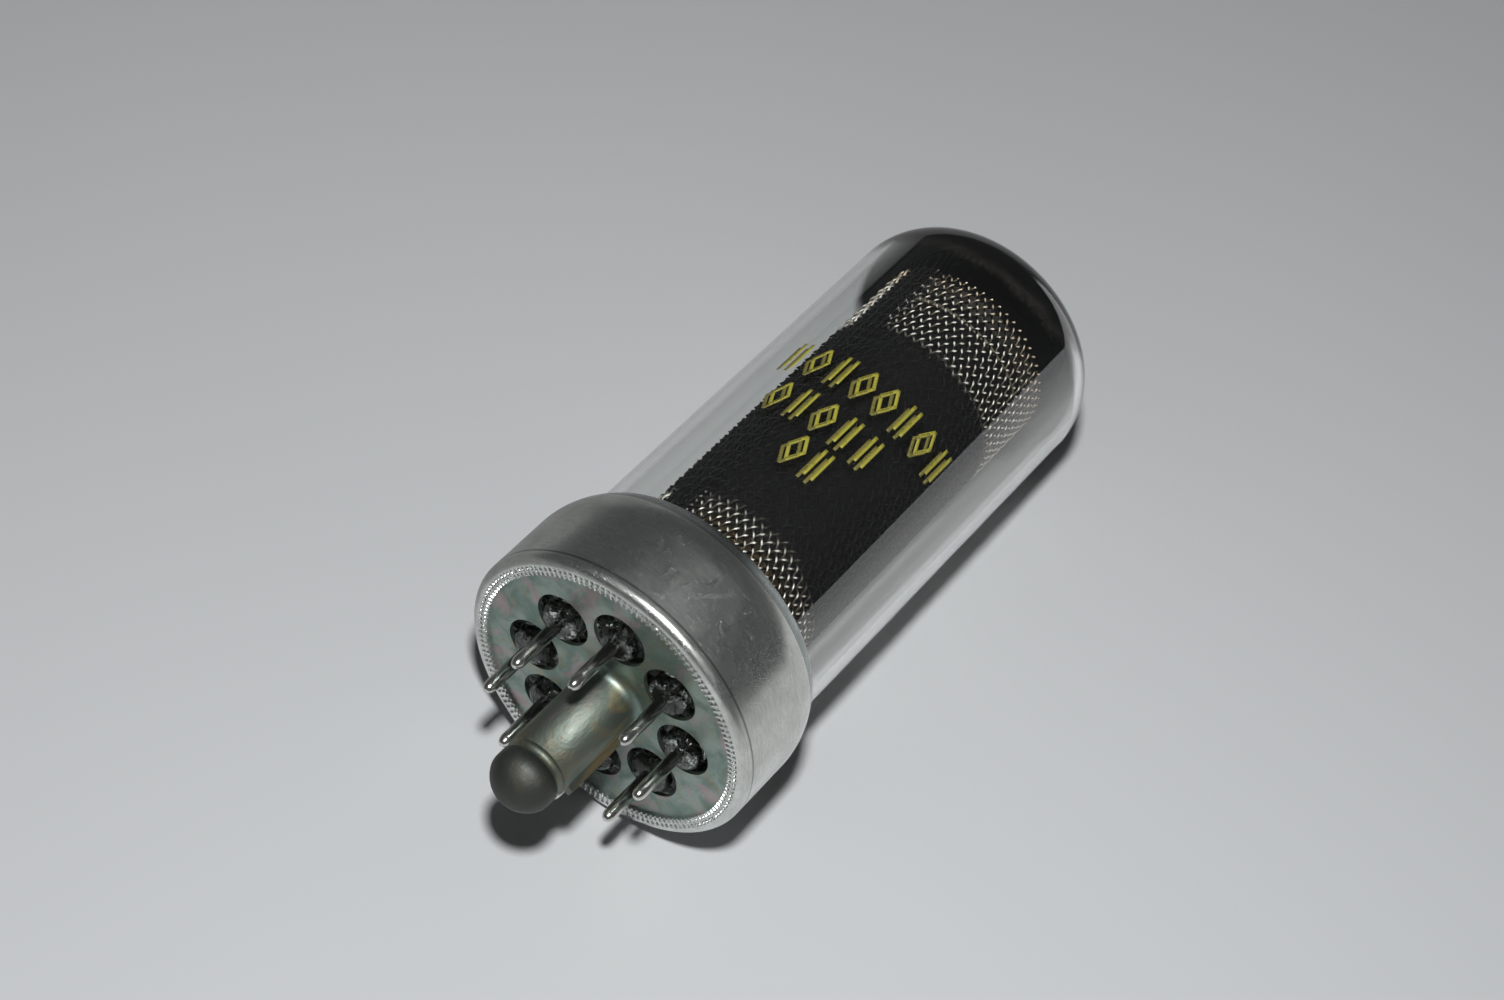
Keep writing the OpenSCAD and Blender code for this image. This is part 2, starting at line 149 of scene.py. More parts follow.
# Arc of a profile round (r, z), from angle a0 to a1 in degrees
def arc(r, z, radius, a0, a1, steps):
    a = np.radians(np.linspace(a0, a1, steps))
    return np.stack([r + radius * np.cos(a), z + radius * np.sin(a)], -1)


# Half a dome: a shoulder arc, then the crown's arc that meets it smoothly and ends on the axis
def domeProfile(radius, foot, height, shoulder, steps):
    flat = radius - shoulder
    crown = (height ** 2 + flat ** 2 - shoulder ** 2) / (2 * (height - shoulder))
    centre = foot + height - crown
    meet = math.degrees(math.atan2(foot - centre, flat))
    return np.concatenate([
        arc(flat, foot, shoulder, 0, meet, steps),
        arc(0, centre, crown, meet, 90, steps)[1:],
    ])


copyFinish = {
    "merge": 2e-7,         # in metres
    "sharp": 32,           # edges sharper than this many degrees stay sharp
}


# A copy of a CAD node with its loose triangles merged and its round faces shaded smooth
def smoothCopy(node, material, slot):
    mesh = frame["nodes"][node].data.copy()
    mesh.materials.clear()
    mesh.materials.append(material)
    mergePoints(mesh, copyFinish["merge"])
    shadeSmooth(mesh, copyFinish["sharp"])
    piece = addObject(node + "_smooth", mesh)
    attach(piece, "root")
    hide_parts(node)


# Materials

def startMaterial(name):
    material = bpy.data.materials.new(name)
    material.use_nodes = True
    material.node_tree.nodes.clear()
    return material, material.node_tree


# Adds a node; an input is either a value or another node's output
def add(tree, kind, inputs=None, **settings):
    node = tree.nodes.new(kind)
    for key, value in settings.items():
        setattr(node, key, value)
    for key, value in (inputs or {}).items():
        if isinstance(value, bpy.types.NodeSocket):
            tree.links.new(value, node.inputs[key])
        else:
            node.inputs[key].default_value = value
    return node


def calc(tree, operation, a, b=0.0):
    return add(tree, "ShaderNodeMath", {0: a, 1: b}, operation=operation).outputs[0]


def times(tree, a, b):
    return calc(tree, "MULTIPLY", a, b)


# Sum of values, each times its share
def total(tree, *terms):
    parts = [value if share == 1 else times(tree, value, share) for value, share in terms]
    whole = parts[0]
    for part in parts[1:]:
        whole = calc(tree, "ADD", whole, part)
    return whole


# The tube's own coordinates in millimetres, from Object coordinates
def tubePlace(tree):
    return add(tree, "ShaderNodeMapping", {
        "Vector": add(tree, "ShaderNodeTexCoord").outputs["Object"],
        "Location": plateFace,
        "Rotation": Matrix(turn.T.tolist()).to_euler("XYZ"),
        "Scale": (mm, mm, mm),
    }, vector_type="TEXTURE").outputs[0]


# A new material, and the tube's coordinates in it
def tubeMaterial(name):
    material, tree = startMaterial(name)
    return material, tree, tubePlace(tree)


# Gives a material its shader
def finished(material, shader):
    add(material.node_tree, "ShaderNodeOutputMaterial", {"Surface": shader})
    return material


def split(tree, vector):
    return add(tree, "ShaderNodeSeparateXYZ", {0: vector}).outputs


# Distance from the axis: the root of the sum of the squares
def fromAxis(tree, x, y):
    return calc(tree, "SQRT", calc(tree, "ADD", times(tree, x, x), times(tree, y, y)))


# Rises from 0 at low to 1 at high, and falls where high is the lower one
def step(tree, value, low, high):
    return add(tree, "ShaderNodeMapRange", {"Value": value, "From Min": low, "From Max": high},
               interpolation_type="SMOOTHSTEP").outputs[0]


# 1 between two edges, each a pair of values from where it starts to where it ends
def band(tree, value, rise, fall):
    return times(tree, step(tree, value, *rise), step(tree, value, fall[1], fall[0]))


# A value's map from one range to another, held at its ends
def remap(tree, value, low, high, toLow, toHigh):
    return add(tree, "ShaderNodeMapRange", {"Value": value, "From Min": low, "From Max": high,
                                            "To Min": toLow, "To Max": toHigh}).outputs[0]


# From a, where the mask is 0, to b, where it is 1
def masked(tree, mask, a, b):
    return remap(tree, mask, 0, 1, a, b)


def mixShaders(tree, factor, a, b):
    return add(tree, "ShaderNodeMixShader", {0: factor, 1: a, 2: b}).outputs[0]


def blendColor(tree, factor, a, b):
    node = add(tree, "ShaderNodeMix", {"Factor": factor}, data_type="RGBA")
    for socket, value in ((node.inputs[6], a), (node.inputs[7], b)):
        if isinstance(value, bpy.types.NodeSocket):
            tree.links.new(value, socket)
        else:
            socket.default_value = (*value[:3], 1)
    return node.outputs[2]


# A colour turned to another one where the mask is, as far as the strength says
def tint(tree, color, mask, other, strength):
    return blendColor(tree, times(tree, mask, strength), color, other)


def scaled(color, share):
    return tuple(share * c for c in color)


# Noise over the tube's coordinates, stretched by the three factors
def noise(tree, place, stretch, scale, detail, rough=0.55, distortion=0.0):
    stretched = add(tree, "ShaderNodeVectorMath", {0: place, 1: stretch}, operation="MULTIPLY")
    return add(tree, "ShaderNodeTexNoise", {
        "Vector": stretched.outputs[0], "Scale": scale, "Detail": detail, "Roughness": rough,
        "Distortion": distortion,
    }).outputs[0]


def bump(tree, height, strength, distance):
    return add(tree, "ShaderNodeBump", {"Height": height, "Strength": strength,
                                        "Distance": distance * mm}).outputs[0]


def principled(tree, **inputs):
    names = {key.replace("_", " "): value for key, value in inputs.items()}
    return add(tree, "ShaderNodeBsdfPrincipled", names).outputs[0]


even = (1, 1, 1)


# Metal with clouds between a darker and a lighter share of its colour, and a fine grain
def plainMetal(name, color, roughness, grain=0.0):
    material, tree, place = tubeMaterial(name)
    clouds = noise(tree, place, even, 0.9, 4)
    shade = blendColor(tree, clouds, scaled(color, 0.72), scaled(color, 1.15))
    fine = noise(tree, place, (1, 1, 0.2), 9, 2)
    return finished(material, principled(
        tree, Base_Color=shade, Metallic=1.0, Roughness=roughness,
        Normal=bump(tree, fine, 0.4, grain)))


ringLook = {
    "color": (0.80, 0.825, 0.80),
    "dull": (0.58, 0.60, 0.58),
    "dullRange": (0.35, 0.72),   # levels of the lines and patches, from dull to clear
    "roughness": (0.33, 0.23),   # in dull patches and in clear ones
    "brushing": 6.0,             # lines for each millimetre along the axis
    "pits": (0.76, 0.80),        # level of a noise where they set in; higher is fewer
    "dents": (0.70, 0.82),
    "specks": (0.58, 0.70),
    "cornerReflection": ((0.62, 0.72), (0.84, 0.96)),  # painted reflection of a dark room: edges of the dark line over the lip's corner
    "collar": (10.40, 10.48),    # height where the shoulder's darker end begins
    "lineEnd": (10.56, 10.66),   # height where the light line at its start ends
    "lineColor": (0.85, 0.84, 0.78),
    # Colour and strength
    "pitColor": ((0.10, 0.10, 0.09), 0.6),
    "cornerReflectionColor": ((0.10, 0.11, 0.11), 0.65),
    "collarColor": ((0.24, 0.28, 0.29), 0.75),
}


# Spun aluminium: lines round the axis, cloudy patches, dark pits, small dents and specks that
# glint, a thin dark line of painted reflection where the side meets the lip's corner, and a darker
# collar next to the glass
def ringMetal():
    look = ringLook
    material, tree, place = tubeMaterial("ringAluminium")
    height = split(tree, place)[2]
    lines = noise(tree, place, (0.12, 0.12, 1.0), look["brushing"], 4, 0.7)
    patches = noise(tree, place, (1, 1, 0.7), 0.30, 2, 0.5, 0.2)
    pits = step(tree, noise(tree, place, even, 3.4, 2, 0.5), *look["pits"])
    dents = step(tree, noise(tree, place, even, 5.5, 1, 0.5), *look["dents"])
    specks = step(tree, noise(tree, place, even, 11, 1, 0.5), *look["specks"])
    clear = step(tree, total(tree, (lines, 0.6), (patches, 0.5)), *look["dullRange"])
    color = blendColor(tree, clear, look["dull"], look["color"])
    color = tint(tree, color, pits, *look["pitColor"])
    # Painted reflection: a dark line just over the lip's corner
    color = tint(tree, color, band(tree, height, *look["cornerReflection"]), *look["cornerReflectionColor"])
    color = tint(tree, color, step(tree, height, *look["collar"]), *look["collarColor"])
    line = band(tree, height, look["collar"], look["lineEnd"])
    color = blendColor(tree, line, color, look["lineColor"])
    rough = remap(tree, patches, 0.3, 0.7, *look["roughness"])
    relief = total(tree, (lines, 0.35), (dents, -0.6), (specks, -0.9))
    return finished(material, principled(
        tree, Base_Color=color, Metallic=1.0, Roughness=total(tree, (rough, 1), (pits, 0.15)),
        Normal=bump(tree, relief, 0.6, 0.016)))


plateLook = {
    "color": (0.32, 0.39, 0.36),
    "green": (0.20, 0.28, 0.25),
    "gold": (0.34, 0.27, 0.14),
    "streak": (0.17, 0.17, 0.14),
    # Colour and strength
    "pink": ((0.46, 0.35, 0.36), 0.7),
    "spigotSteel": ((0.135, 0.145, 0.118), 0.7),
    "rust": ((0.30, 0.13, 0.05), 0.55),
    "head": ((0.085, 0.09, 0.085), 0.9),
    # Strength on the plate and on the spigot
    "goldShare": (0.35, 0.85),
    "streakShare": (0.25, 0.6),
    # Levels of the noises from where each sets in to where it is full
    "clouds": (0.36, 0.62),
    "pinkFrom": (0.52, 0.66),
    "goldFrom": (0.48, 0.34),
    "streaks": (0.50, 0.72),
    "rustFrom": (0.64, 0.70),
    "roughness": (0.52, 0.34),   # in green clouds and outside them
    "spigotRadius": (4.4, 3.9),  # radius inside which the steel is the spigot's
    "spigotFoot": (0.0, -1.5),   # heights between which it begins to be
    "headFoot": (-11.1, -11.7),
}


# Plated steel: grey-green with pink and golden clouds, streaks along the spigot, rusty specks, a
# hammered spigot, and a darker, rougher head
def plateSteel():
    look = plateLook
    material, tree, place = tubeMaterial("plateSteel")
    x, y, z = split(tree, place)
    spigot = times(tree, step(tree, fromAxis(tree, x, y), *look["spigotRadius"]),
                   step(tree, z, *look["spigotFoot"]))
    head = step(tree, z, *look["headFoot"])
    clouds = noise(tree, place, (1, 1, 0.6), 0.30, 4, 0.55, 0.8)
    hue = noise(tree, place, (1, 1, 0.35), 0.24, 3, 0.5, 1.2)
    streaks = noise(tree, place, (1, 1, 0.07), 2.6, 4, 0.65)
    grain = noise(tree, place, (1, 1, 0.5), 6.0, 3, 0.6)
    stain = step(tree, noise(tree, place, even, 2.2, 3, 0.6), *look["rustFrom"])
    gilt = times(tree, step(tree, hue, *look["goldFrom"]),
                 masked(tree, spigot, *look["goldShare"]))
    dark = times(tree, step(tree, streaks, *look["streaks"]),
                 masked(tree, spigot, *look["streakShare"]))
    color = blendColor(tree, step(tree, clouds, *look["clouds"]), look["green"], look["color"])
    color = tint(tree, color, step(tree, hue, *look["pinkFrom"]), *look["pink"])
    color = tint(tree, color, spigot, *look["spigotSteel"])
    color = blendColor(tree, gilt, color, look["gold"])
    color = blendColor(tree, dark, color, look["streak"])
    color = tint(tree, color, stain, *look["rust"])
    color = tint(tree, color, head, *look["head"])
    rough = remap(tree, clouds, 0.3, 0.7, *look["roughness"])
    rough = total(tree, (rough, 1), (spigot, 0.12), (head, 0.06))
    hammered = times(tree, noise(tree, place, (1, 1, 0.6), 1.5, 3, 0.6), times(tree, spigot, 2.2))
    relief = total(tree, (grain, 0.6), (stain, 0.4), (streaks, 0.4), (hammered, 1))
    return finished(material, principled(
        tree, Base_Color=color, Metallic=1.0, Roughness=rough,
        Normal=bump(tree, relief, 0.7, 0.03)))


glassLook = {
    "bulb": {"color": (0.96, 0.97, 0.96), "shade": (0.88, 0.89, 0.88)},
    "base": {"color": (0.62, 0.66, 0.63), "shade": (0.7, 0.72, 0.7), "wave": 0.25,
             "waveSize": 1.4},
    "edge": (0.34, 0.60),        # how far a side turns from the light where its shadow darkens
    "edgeShade": 0.14,           # share of the shade left there
}


# Clear glass: lamps shine through it, so what lies inside is lit. A wavy glass has a bump.
def clearGlass(name, color, shade, wave=0.0, waveSize=1.0):
    material, tree = startMaterial(name)
    inputs = {"Base_Color": (*color, 1), "Roughness": 0.0, "IOR": 1.5, "Transmission_Weight": 1.0}
    if wave:
        ripple = noise(tree, tubePlace(tree), even, 1 / waveSize, 2, 0.5, 0.6)
        inputs["Normal"] = bump(tree, ripple, 1.0, wave)
    facing = add(tree, "ShaderNodeLayerWeight", {"Blend": 0.5}).outputs["Facing"]
    dim = blendColor(tree, step(tree, facing, *glassLook["edge"]), shade,
                     scaled(shade, glassLook["edgeShade"]))
    through = add(tree, "ShaderNodeBsdfTransparent", {"Color": dim}).outputs[0]
    shadow = add(tree, "ShaderNodeLightPath").outputs["Is Shadow Ray"]
    return finished(material, mixShaders(tree, shadow, principled(tree, **inputs), through))


meshLook = {
    # The wires' colours on their crests, lit bright as a painted highlight
    "bright": (0.86, 0.84, 0.78),
    "warm": (0.62, 0.44, 0.26),
    "weaveShade": (0.050, 0.042, 0.032),  # painted shade: the wires' colour down in the weave
    "wearAndCrestHighlight": (0.11, 0.05),        # painted highlight on the crests: depths under the screen's outer side over which it gives way to the painted shade
    "polish": 0.55,              # how metallic the crests with the painted highlight are
    "black": (0.004, 0.004, 0.004),
    "blackFrom": (16.30, 19.30),  # heights between which the screen is black
    "blackTo": (47.55, 48.85),
    "wander": 3.0,               # how much those heights vary round the tube
    "seam": (-51.0, -26.0),      # painted shadow under the lap's edge: the black stripe along the seam, in degrees round the axis
    "seamSoft": 0.03,            # half the width of its soft edges, in radians
    "beyondSeam": 0.65,          # how far the crests are darkened to the painted shade colour on the seam's far side
    "beyondSoft": 0.1,
    "warmDome": ((54.5, 57.5), 0.7),  # where the wires are warmer, and by how much
    "warmFoot": ((16.0, 12.0), 0.6),
    # Of the bright wires and of the black ones
    "roughness": (0.27, 0.55),
    "shine": (0.5, 0.03),
}


# Wires with a painted highlight on their crests and painted shade down in the weave, warmer in
# patches and at both ends, black along the screen's middle, and with a painted shadow in black
# along its seam
def meshMetal():
    look = meshLook
    material, tree, place = tubeMaterial("meshWire")
    x, y, z = split(tree, place)
    angle = calc(tree, "ARCTAN2", y, x)
    # Painted shadow: a black stripe along the seam, under the lap's edge
    near, far = (math.radians(a) for a in look["seam"])
    soft = look["seamSoft"]
    seamShadowMask = band(tree, angle, (near - soft, near + soft), (far - soft, far + soft))
    wander = calc(tree, "SUBTRACT", noise(tree, place, (1, 1, 0.4), 0.16, 2), 0.5)
    level = calc(tree, "ADD", z, times(tree, wander, look["wander"]))
    middle = band(tree, level, look["blackFrom"], look["blackTo"])
    black = calc(tree, "MAXIMUM", middle, seamShadowMask)
    warmth = times(tree, step(tree, noise(tree, place, even, 0.55, 3), 0.40, 0.80), 0.5)
    for heights, strength in (look["warmDome"], look["warmFoot"]):
        zone = times(tree, step(tree, z, *heights), strength)
        warmth = calc(tree, "MAXIMUM", warmth, zone)
    # Painted highlight on the wires' crests and painted shade down in the weave, by the distance
    # from the axis
    deep, crest = (tube["meshRadius"] - depth for depth in look["wearAndCrestHighlight"])
    wearAndCrestHighlight = step(tree, fromAxis(tree, x, y), deep, crest)
    color = blendColor(tree, warmth, look["bright"], look["warm"])
    color = blendColor(tree, wearAndCrestHighlight, look["weaveShade"], color)
    # Crests on the seam's far side are darkened towards the painted shade colour
    beyond = step(tree, angle, near, near - look["beyondSoft"])
    color = tint(tree, color, beyond, look["weaveShade"], look["beyondSeam"])
    color = blendColor(tree, black, color, look["black"])
    metallic = masked(tree, black, masked(tree, wearAndCrestHighlight, 1.0, look["polish"]), 0.0)
    return finished(material, principled(
        tree, Base_Color=color, Metallic=metallic,
        Roughness=masked(tree, black, *look["roughness"]),
        Specular_IOR_Level=masked(tree, black, *look["shine"])))


liningLook = {
    "color": (0.004, 0.004, 0.004),
    "brown": (0.065, 0.045, 0.020),
    "brownBelow": (18.0, 14.5),
    "from": 18.6,          # heights between which the lining fills the screen's openings
    "to": 47.6,
    "ramp": 0.4,           # height over which it rises into them
    "under": 0.05,         # depth of the filling under the wires' middle
    "behind": 0.03,        # gap to the wires elsewhere
    "wall": 0.1,
    "endGap": 0.3,
}


# Matt black, brownish near the screen's end at the ring
def liningCoat():
    material, tree, place = tubeMaterial("screenLining")
    brown = step(tree, split(tree, place)[2], *liningLook["brownBelow"])
    grain = noise(tree, place, even, 3, 3)
    color = blendColor(tree, times(tree, brown, grain), liningLook["color"], liningLook["brown"])
    return finished(material, principled(
        tree, Base_Color=color, Roughness=0.9, Specular_IOR_Level=0.02))


filmLook = {
    "color": (0.004, 0.004, 0.0045),
    "edgeTint": (0.05, 0.045, 0.04),
    "edge": 57.6,          # height where the film begins
    "fade": 2.6,
    "wander": 2.4,         # how much its edge varies
    "clearSide": 75.0,     # angle round the axis of the side where it stops short, in degrees
    "clearWidth": 0.75,    # cosine of half that side's width
    "clearRise": 3.6,
    "roughness": 0.07,
    "shine": 0.25,
    "hair": 0.04,          # how far the film lies within the glass
}


# The film fades in over its edge, whose height varies round the tube
def getterMirror():
    look = filmLook
    material, tree, place = tubeMaterial("getterFilm")
    x, y, z = split(tree, place)
    angle = calc(tree, "ARCTAN2", y, x)
    away = calc(tree, "COSINE", calc(tree, "SUBTRACT", angle, math.radians(look["clearSide"])))
    rise = times(tree, step(tree, away, look["clearWidth"], 1.0), look["clearRise"])
    wander = calc(tree, "SUBTRACT", noise(tree, place, even, 0.22, 2), 0.5)
    low = calc(tree, "ADD", total(tree, (rise, 1), (wander, look["wander"])), look["edge"])
    cover = step(tree, calc(tree, "SUBTRACT", z, low), 0.0, look["fade"])
    color = blendColor(tree, cover, look["edgeTint"], look["color"])
    mirror = principled(tree, Base_Color=color, Roughness=look["roughness"],
                        Specular_IOR_Level=look["shine"])
    clear = add(tree, "ShaderNodeBsdfTransparent").outputs[0]
    return finished(material, mixShaders(tree, cover, clear, mirror))


printLook = {
    # Colour and cover
    "marks": ((0.40, 0.37, 0.05), 1.0),
    # The marks' painted reflection, in a fainter ink colour
    "paintedReflection": ((0.22, 0.20, 0.05), 0.75),
    "wear": (0.30, 0.48),  # level of a noise over which the ink is whole
    "wearAndCrestHighlight": 0.45,          # share of the ink left elsewhere
}


def printInk(name, color, cover):
    material, tree, place = tubeMaterial(name)
    whole = step(tree, noise(tree, place, even, 3.0, 4, 0.7), *printLook["wear"])
    factor = times(tree, masked(tree, whole, printLook["wearAndCrestHighlight"], 1.0), cover)
    ink = principled(tree, Base_Color=(*color, 1), Roughness=0.5)
    clear = add(tree, "ShaderNodeBsdfTransparent").outputs[0]
    return finished(material, mixShaders(tree, factor, clear, ink))


micaLook = {
    "color": (0.80, 0.76, 0.66),
    "flake": (0.55, 0.48, 0.34),
    "rimColor": (0.10, 0.09, 0.07),
    "rim": (9.2, 9.4),     # radius where the dark rim begins
}


def micaSheet():
    material, tree, place = tubeMaterial("mica")
    x, y, z = split(tree, place)
    flakes = noise(tree, place, even, 0.8, 4)
    color = blendColor(tree, flakes, micaLook["flake"], micaLook["color"])
    rim = step(tree, fromAxis(tree, x, y), *micaLook["rim"])
    color = blendColor(tree, rim, color, micaLook["rimColor"])
    return finished(material, principled(tree, Base_Color=color, Roughness=0.25))


def mattCoat(name, color, roughness=0.85):
    material, tree, place = tubeMaterial(name)
    grain = noise(tree, place, even, 7, 3)
    shade = blendColor(tree, grain, scaled(color, 0.8), color)
    return finished(material, principled(
        tree, Base_Color=shade, Roughness=roughness, Specular_IOR_Level=0.3,
        Normal=bump(tree, grain, 0.3, 0.02)))


ringAluminium = ringMetal()
steel = plateSteel()
bulbGlass = clearGlass("bulbGlass", **glassLook["bulb"])
baseGlass = clearGlass("baseGlass", **glassLook["base"])
meshWire = meshMetal()
shieldMetal = plainMetal("shieldMetal", (0.09, 0.085, 0.08), 0.5)
nickel = plainMetal("nickel", (0.58, 0.55, 0.50), 0.28, 0.01)
pinMetal = plainMetal("pinMetal", (0.74, 0.74, 0.71), 0.22, 0.02)
gridWire = plainMetal("gridWire", (0.50, 0.48, 0.45), 0.30)
goldWire = plainMetal("goldWire", (0.80, 0.58, 0.22), 0.25)
getterMetal = plainMetal("getterMetal", (0.20, 0.18, 0.16), 0.45, 0.02)
mica = micaSheet()
anodeBlack = mattCoat("anodeSheet", (0.035, 0.035, 0.034), 0.6)
cathodeCoat = mattCoat("cathodeCoat", (0.80, 0.79, 0.75))
heaterCoat = mattCoat("heaterCoat", (0.84, 0.83, 0.80))
print("materials made")

cadFinish = {
    "base_plate": (steel, "plate_steel"),
    "glass_base": (baseGlass, "base_glass"),
    "bottom_shield": (shieldMetal, "nickel"),
    "top_shield": (shieldMetal, "nickel"),
    "bottom_mica": (mica, "mica"),
    "top_mica": (mica, "mica"),
    "anode": (anodeBlack, "anode_sheet"),
    "support_rods": (nickel, "nickel"),
    "suppressor_grid": (gridWire, "grid_wire"),
    "screen_grid": (gridWire, "grid_wire"),
    "control_grid": (goldWire, "gold_wire"),
    "cathode": (cathodeCoat, "cathode_coat"),
    "heater": (heaterCoat, "heater_coat"),
    "getter_ring": (getterMetal, "getter_metal"),
    "getter_support": (nickel, "nickel"),
    "base_ring": (ringAluminium, "ring_aluminium"),
    "glass_bulb": (bulbGlass, "bulb_glass"),
    "screen_mesh": (meshWire, "mesh_wire"),
}
pins = [f"pin_{number}" for number in range(1, 9)]
for number, pin in enumerate(pins, 1):
    cadFinish[pin] = (pinMetal, "pin_metal")
    cadFinish[f"lead_{number}"] = (nickel, "nickel")
for node, (material, slotName) in cadFinish.items():
    piece = frame["nodes"][node]
    piece.data.materials.clear()
    piece.data.materials.append(material)
for node in ["base_plate", "glass_base"] + pins:
    smoothCopy(node, *cadFinish[node])
print("frame finished")

ringShape = {
    "sideHeight": 7.6,
    "shoulder": 7.8,
    "corner": 0.95,
    "lipWidth": 1.95,
    "endGap": 0.1,         # between the glass and the ring's inner side
    "teeth": 150,
    "toothDepth": 0.2,
    "slotShare": 0.44,     # width of a slot, as a share of the tooth pitch
    "slotWall": 0.06,      # and of the soft wall beside it
    "toothCrown": 0.04,    # how far a tooth's middle stands over its edges
    "bridge": (0.40, 0.58),  # from the lip's edge, where a ridge crosses the slots
    "uneven": 0.35,        # share by which the slots differ in depth
    "seed": 7,
}


# The rolled ring. Its teeth are a wave of depth round the lip: flat slots with soft walls between
# crowned teeth, times a step along the radius that parts each slot into an inner and an outer pit.
def buildRing():
    shape = ringShape
    radius, wall, teeth = tube["ringRadius"], tube["ringWall"], shape["teeth"]
    lip, face = radius - shape["lipWidth"], -wall
    corner, shoulder = shape["corner"], shape["shoulder"]
    cornerAt, shoulderAt = radius - corner, radius - shoulder
    endRadius = tube["glassRadius"] + shape["endGap"] + wall
    end = math.degrees(math.acos((endRadius - shoulderAt) / shoulder))
    near, far = shape["bridge"]
    last = shape["lipWidth"] - corner
    # Rows across the lip: their distance from its edge, and the share of the slots' depth there
    across, depths = np.array([
        (0, 1), (0.12, 1), (near - 0.1, 1), (near, 0.25), ((near + far) / 2, 0.15), (far, 0.25),
        (far + 0.1, 0.9), (last - 0.18, 0.9), (last - 0.08, 0.3), (last, 0),
    ]).T
    profile = np.concatenate([
        np.stack([lip + across, np.full(len(across), face)], -1),
        arc(cornerAt, face + corner, corner, -90, 0, 10)[1:],
        arc(shoulderAt, shape["sideHeight"], shoulder, 0, end, 12),
        arc(shoulderAt, shape["sideHeight"], shoulder - wall, end, 0, 8),
        arc(cornerAt, face + corner, corner - wall, 0, -90, 5),
        np.stack([np.linspace(cornerAt, lip, 4), np.zeros(4)], -1)[1:],
    ])
    # Points over one tooth pitch, from a slot's middle to the next one's
    slot, soft = shape["slotShare"] / 2, shape["slotWall"]
    half = np.array([slot - 0.06, slot, slot + 0.07, 0.5 * slot + 0.28])
    share = np.concatenate([[0], half, [0.5], 1 - half[::-1]])
    a = ((np.arange(teeth)[:, None] + share) * 2 * np.pi / teeth).ravel()
    off = np.abs((share + 0.5) % 1 - 0.5)
    tooth = np.clip((off - slot + soft / 2) / soft, 0, 1)
    crown = np.clip(np.cos((0.5 - off) / (0.5 - slot) * np.pi / 2), 0, 1)
    luck = np.random.default_rng(shape["seed"]).uniform(1 - shape["uneven"], 1, (2, teeth))
    inner, outer = np.repeat(luck, len(share), axis=1)
    slots = np.tile(shape["toothDepth"] * (1 - tooth), teeth)
    tops = np.tile(shape["toothCrown"] * (1 - tooth * crown), teeth)
    z = np.repeat(profile[:, 1:], len(a), axis=1)
    for row, (distance, depth) in enumerate(zip(across, depths)):
        uneven = inner if distance <= near else outer
        z[row] += depth * (slots * uneven) + min(1, 2 * depth) * tops
    points = onAxis(profile[:, :1], a[None, :], z)
    quads = gridQuads(len(profile), len(a), wrapRows=True, wrapCols=True)
    makePiece("base_ring_rolled", points, quads, ringAluminium, slot="ring_aluminium",
              replaced=["base_ring"], sharp=38)


buildRing()
print("ring rolled")

bulbShape = {"around": 224, "along": 30}


# Profile of the bulb's wall at a depth within its outer side, from its foot to the axis
def glassProfile(inset):
    dome = domeProfile(tube["glassRadius"] - inset, tube["domeTop"] - tube["domeHeight"],
                       tube["domeHeight"] - inset, tube["domeShoulder"] - inset,
                       bulbShape["along"])
    foot = np.array([[tube["glassRadius"] - inset, tube["glassFoot"]]])
    return np.concatenate([foot, dome])


# The blown bulb: its outer profile up to the axis and its inner one back down
def buildBulb():
    profile = np.concatenate([glassProfile(0), glassProfile(tube["glassWall"])[::-1]])
    revolve("glass_bulb_blown", profile, bulbShape["around"], bulbGlass, closed=True,
            slot="bulb_glass", replaced=["glass_bulb"], poles=True, sharp=50)


# The film lies on the dome's inner side, a hair within the glass, so that the wall's own
# reflection doesn't hide it at the rim. It starts below the heights where it fades in.
def buildFilm():
    dome = glassProfile(tube["glassWall"] - filmLook["hair"])[1:]
    heights = np.linspace(filmLook["edge"] - 4, dome[0, 1], 7)[:-1]
    wall = np.stack([np.full(len(heights), dome[0, 0]), heights], -1)
    revolve("getter_film", np.concatenate([wall, dome]), bulbShape["around"], getterMirror(),
            poles=True)


buildBulb()
buildFilm()
print("glass blown")

weave = {
    # Number of wires round the tube, and how far each runs round for each millimetre along. The
    # sum of the two numbers is even, so the weave closes on itself.
    "warp": (60, 0.74),
    "weft": (62, -0.70),
    "wire": 0.24,          # diameter
    "wave": 0.15,          # height of the over and under
    "sides": 6,            # of a wire, an even number
    "perCrossing": 3,
    "lapTurn": -27.0,      # where the lap's edge lies round the axis, in degrees
    "lapAngle": 36.0,
    "lapLift": 0.40,
    "lapFlare": 0.20,      # how far its edge stands off
    "shortest": 0.4,       # height under which a piece of wire is left out at the lap's corners
}


# Radius of the middle of the weave
def weaveRadius():
    return tube["meshRadius"] - weave["wire"] / 2 - weave["wave"]


# Numbers of the wires with the heights of their ends. With a span, only the wires that cross it,
# each between the heights where it comes in and goes out.
def wireEnds(own, pitch, low, high, span):
    count, slope = own
    if span is None:
        return np.arange(count)[:, None], np.full((count, 1), low), np.full((count, 1), high)
    starts = [x - slope * z for x in span for z in (low, high)]
    first, last = math.ceil(min(starts) / pitch), math.floor(max(starts) / pitch)
    number = np.arange(first, last + 1)[:, None]
    enter, leave = ((x - number * pitch) / slope for x in span)
    zLow = np.clip(np.minimum(enter, leave), low, high)
    zHigh = np.clip(np.maximum(enter, leave), low, high)
    keep = ((zHigh - zLow) > weave["shortest"])[:, 0]
    return number[keep], zLow[keep], zHigh[keep]


